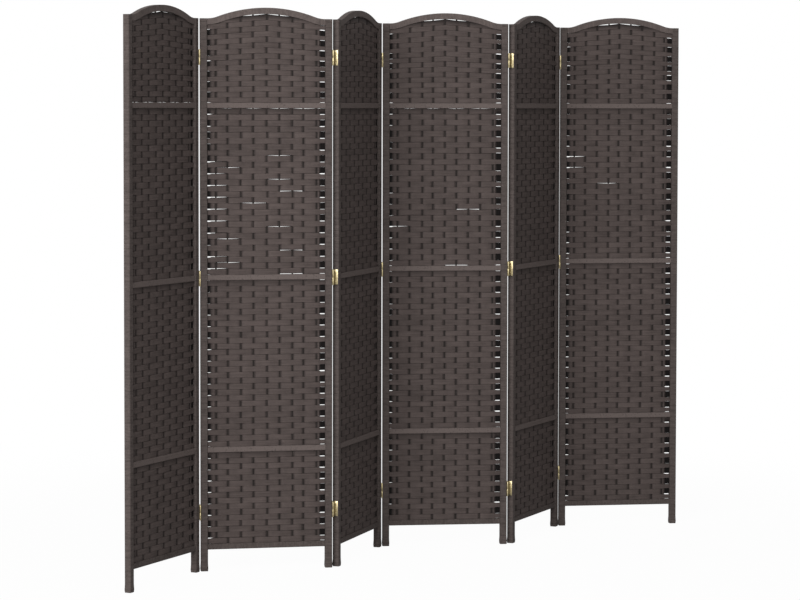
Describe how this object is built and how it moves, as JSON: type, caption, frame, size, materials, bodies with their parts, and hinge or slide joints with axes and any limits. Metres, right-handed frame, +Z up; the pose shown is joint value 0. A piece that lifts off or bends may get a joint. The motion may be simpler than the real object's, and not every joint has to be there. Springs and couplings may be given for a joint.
{
  "type": "folding screen",
  "caption": "Free-standing folding screen: arched wooden frames wrapped in paper and filled with dark woven paper strip, joined in a zigzag by two-way brass hinges.",
  "frame": {"origin": "on the floor, in the middle of the screen's box as it stands in the picture", "axes": "+Z up, +X along the screen from its first panel to its last, front towards -Y"},
  "size_m": [2.1834, 0.2508, 1.7],
  "materials": {
    "wrapped_wood": "matt paper wrap",
    "woven_paper": "matt",
    "brass": "plated, satin"
  },
  "bodies": {
    "panel_1": {"stile_left_1": "wrapped_wood", "stile_right_1": "wrapped_wood", "top_arch_1": "wrapped_wood", "cross_rails_1": "wrapped_wood", "bottom_rail_1": "wrapped_wood", "weave_1": "woven_paper", "hinge_leaves_1": "brass"},
    "panel_2": {"stile_left_2": "wrapped_wood", "stile_right_2": "wrapped_wood", "top_arch_2": "wrapped_wood", "cross_rails_2": "wrapped_wood", "bottom_rail_2": "wrapped_wood", "weave_2": "woven_paper", "hinge_leaves_2": "brass"},
    "panel_3": {"stile_left_3": "wrapped_wood", "stile_right_3": "wrapped_wood", "top_arch_3": "wrapped_wood", "cross_rails_3": "wrapped_wood", "bottom_rail_3": "wrapped_wood", "weave_3": "woven_paper", "hinge_leaves_3": "brass"},
    "panel_4": {"stile_left_4": "wrapped_wood", "stile_right_4": "wrapped_wood", "top_arch_4": "wrapped_wood", "cross_rails_4": "wrapped_wood", "bottom_rail_4": "wrapped_wood", "weave_4": "woven_paper", "hinge_leaves_4": "brass"},
    "panel_5": {"stile_left_5": "wrapped_wood", "stile_right_5": "wrapped_wood", "top_arch_5": "wrapped_wood", "cross_rails_5": "wrapped_wood", "bottom_rail_5": "wrapped_wood", "weave_5": "woven_paper", "hinge_leaves_5": "brass"},
    "panel_6": {"stile_left_6": "wrapped_wood", "stile_right_6": "wrapped_wood", "top_arch_6": "wrapped_wood", "cross_rails_6": "wrapped_wood", "bottom_rail_6": "wrapped_wood", "weave_6": "woven_paper", "hinge_leaves_6": "brass"},
    "link_12": {"hinge_plates_12": "brass"},
    "link_23": {"hinge_plates_23": "brass"},
    "link_34": {"hinge_plates_34": "brass"},
    "link_45": {"hinge_plates_45": "brass"},
    "link_56": {"hinge_plates_56": "brass"}
  },
  "joints": [
    {"name": "hinge_12_front", "type": "hinge", "parent": "link_12", "child": "panel_1", "pos_m": [-0.72184, 0.05924, 0.886], "axis": [0, 0, 1], "range_deg": [-53.5, 126.5]},
    {"name": "hinge_12_back", "type": "hinge", "parent": "panel_2", "child": "link_12", "pos_m": [-0.71149, 0.07978, 0.886], "axis": [0, 0, 1], "range_deg": [-180, 0]},
    {"name": "hinge_23_front", "type": "hinge", "parent": "link_23", "child": "panel_2", "pos_m": [-0.36001, -0.12314, 0.886], "axis": [0, 0, -1], "range_deg": [-180, 0]},
    {"name": "hinge_23_back", "type": "hinge", "parent": "panel_3", "child": "link_23", "pos_m": [-0.34965, -0.1026, 0.886], "axis": [0, 0, -1], "range_deg": [-60.5, 119.5]},
    {"name": "hinge_34_front", "type": "hinge", "parent": "panel_3", "child": "link_34", "pos_m": [0.00004, 0.10339, 0.886], "axis": [0, 0, -1], "range_deg": [-64.5, 115.5]},
    {"name": "hinge_34_back", "type": "hinge", "parent": "link_34", "child": "panel_4", "pos_m": [0.0118, 0.12316, 0.886], "axis": [0, 0, -1], "range_deg": [-180, 0]},
    {"name": "hinge_45_front", "type": "hinge", "parent": "panel_4", "child": "link_45", "pos_m": [0.34827, -0.10379, 0.886], "axis": [0, 0, 1], "range_deg": [-170, 0]},
    {"name": "hinge_45_back", "type": "hinge", "parent": "link_45", "child": "panel_5", "pos_m": [0.36003, -0.08402, 0.886], "axis": [0, 0, 1], "range_deg": [-58.5, 121.5]},
    {"name": "hinge_56_front", "type": "hinge", "parent": "panel_5", "child": "link_56", "pos_m": [0.72933, 0.08429, 0.886], "axis": [0, 0, -1], "range_deg": [-57, 123]},
    {"name": "hinge_56_back", "type": "hinge", "parent": "link_56", "child": "panel_6", "pos_m": [0.74057, 0.10436, 0.886], "axis": [0, 0, -1], "range_deg": [-180, 0]}
  ]
}
